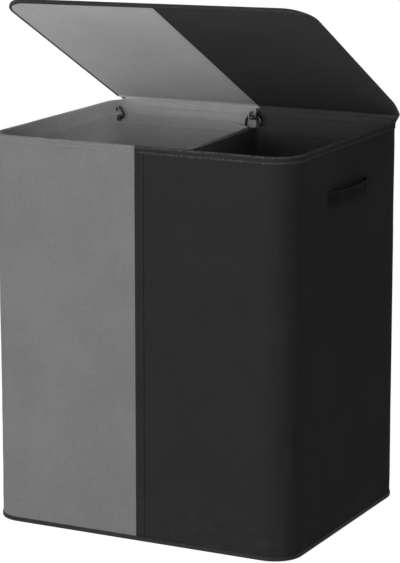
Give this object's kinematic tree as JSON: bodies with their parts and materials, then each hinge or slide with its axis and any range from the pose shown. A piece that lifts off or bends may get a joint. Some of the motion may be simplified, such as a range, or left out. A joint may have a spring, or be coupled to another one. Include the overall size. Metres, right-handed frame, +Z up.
{
  "type": "laundry hamper with two bins",
  "caption": "Free-standing divided laundry hamper in grey and black cloth over board, with hanging liner bags, a flap lid on a sewn hinge and strap handles.",
  "frame": {"origin": "middle of the flat base, on the floor", "axes": "+X to the hamper's right seen from the front, +Y to the back where the lid is sewn on, +Z up"},
  "size_m": [0.558, 0.4433, 0.8521],
  "materials": {
    "cloth_grey": "matte coated polyester cloth, mid grey",
    "cloth_black": "matte coated polyester cloth, black",
    "lining_grey": "smooth matte lining cloth, light grey",
    "lining_black": "smooth matte lining cloth, black",
    "card": "raw brown stiffening board",
    "webbing": "black woven tape",
    "wire_black": "gloss black dipped steel wire",
    "eyelet_steel": "dark nickel plated steel"
  },
  "bodies": {
    "shell": {"cover_grey": "cloth_grey", "lining_grey": "lining_grey", "rim_hem_grey": "cloth_grey", "board_side_left": "card", "board_front_left": "card", "board_back_left": "card", "handle_patch_left": "webbing", "liner_grey": "lining_grey", "liner_hem_grey": "lining_grey", "hook_tab_left_outer_front": "cloth_grey", "hook_left_outer_front": "wire_black", "eyelet_left_outer_front": "eyelet_steel", "hook_tab_left_outer_back": "cloth_grey", "hook_left_outer_back": "wire_black", "eyelet_left_outer_back": "eyelet_steel", "hook_tab_left_inner_front": "cloth_grey", "hook_left_inner_front": "wire_black", "eyelet_left_inner_front": "eyelet_steel", "hook_tab_left_inner_back": "cloth_grey", "hook_left_inner_back": "wire_black", "eyelet_left_inner_back": "eyelet_steel", "cover_black": "cloth_black", "lining_black": "lining_black", "rim_hem_black": "cloth_black", "board_side_right": "card", "board_front_right": "card", "board_back_right": "card", "handle_patch_right": "webbing", "liner_black": "lining_black", "liner_hem_black": "lining_black", "hook_tab_right_outer_front": "cloth_black", "hook_right_outer_front": "wire_black", "eyelet_right_outer_front": "eyelet_steel", "hook_tab_right_outer_back": "cloth_black", "hook_right_outer_back": "wire_black", "eyelet_right_outer_back": "eyelet_steel", "hook_tab_right_inner_front": "cloth_black", "hook_right_inner_front": "wire_black", "eyelet_right_inner_front": "eyelet_steel", "hook_tab_right_inner_back": "cloth_black", "hook_right_inner_back": "wire_black", "eyelet_right_inner_back": "eyelet_steel", "front_seam_strip": "cloth_black", "back_seam_strip": "cloth_black", "base_binding": "webbing", "base_cloth": "cloth_black", "base_board": "lining_black", "hinge_strip_grey": "cloth_grey", "hinge_strip_black": "cloth_black"},
    "lid": {"lid_cover_grey": "cloth_grey", "lid_lining_grey": "lining_grey", "lid_cover_black": "cloth_black", "lid_lining_black": "lining_black", "lid_board": "card", "lid_binding": "webbing"},
    "handle_left": {"handle_left": "webbing"},
    "handle_right": {"handle_right": "webbing"}
  },
  "joints": [
    {"name": "lid_hinge", "type": "hinge", "parent": "shell", "child": "lid", "pos_m": [0, 0.223, 0.647], "axis": [-1, 0, 0], "range_deg": [-27.5, 237.5]},
    {"name": "handle_left_pull", "type": "slide", "parent": "shell", "child": "handle_left", "axis": [-1, 0, 0], "range_m": [0, 0.008]},
    {"name": "handle_right_pull", "type": "slide", "parent": "shell", "child": "handle_right", "axis": [1, 0, 0], "range_m": [0, 0.008]}
  ]
}
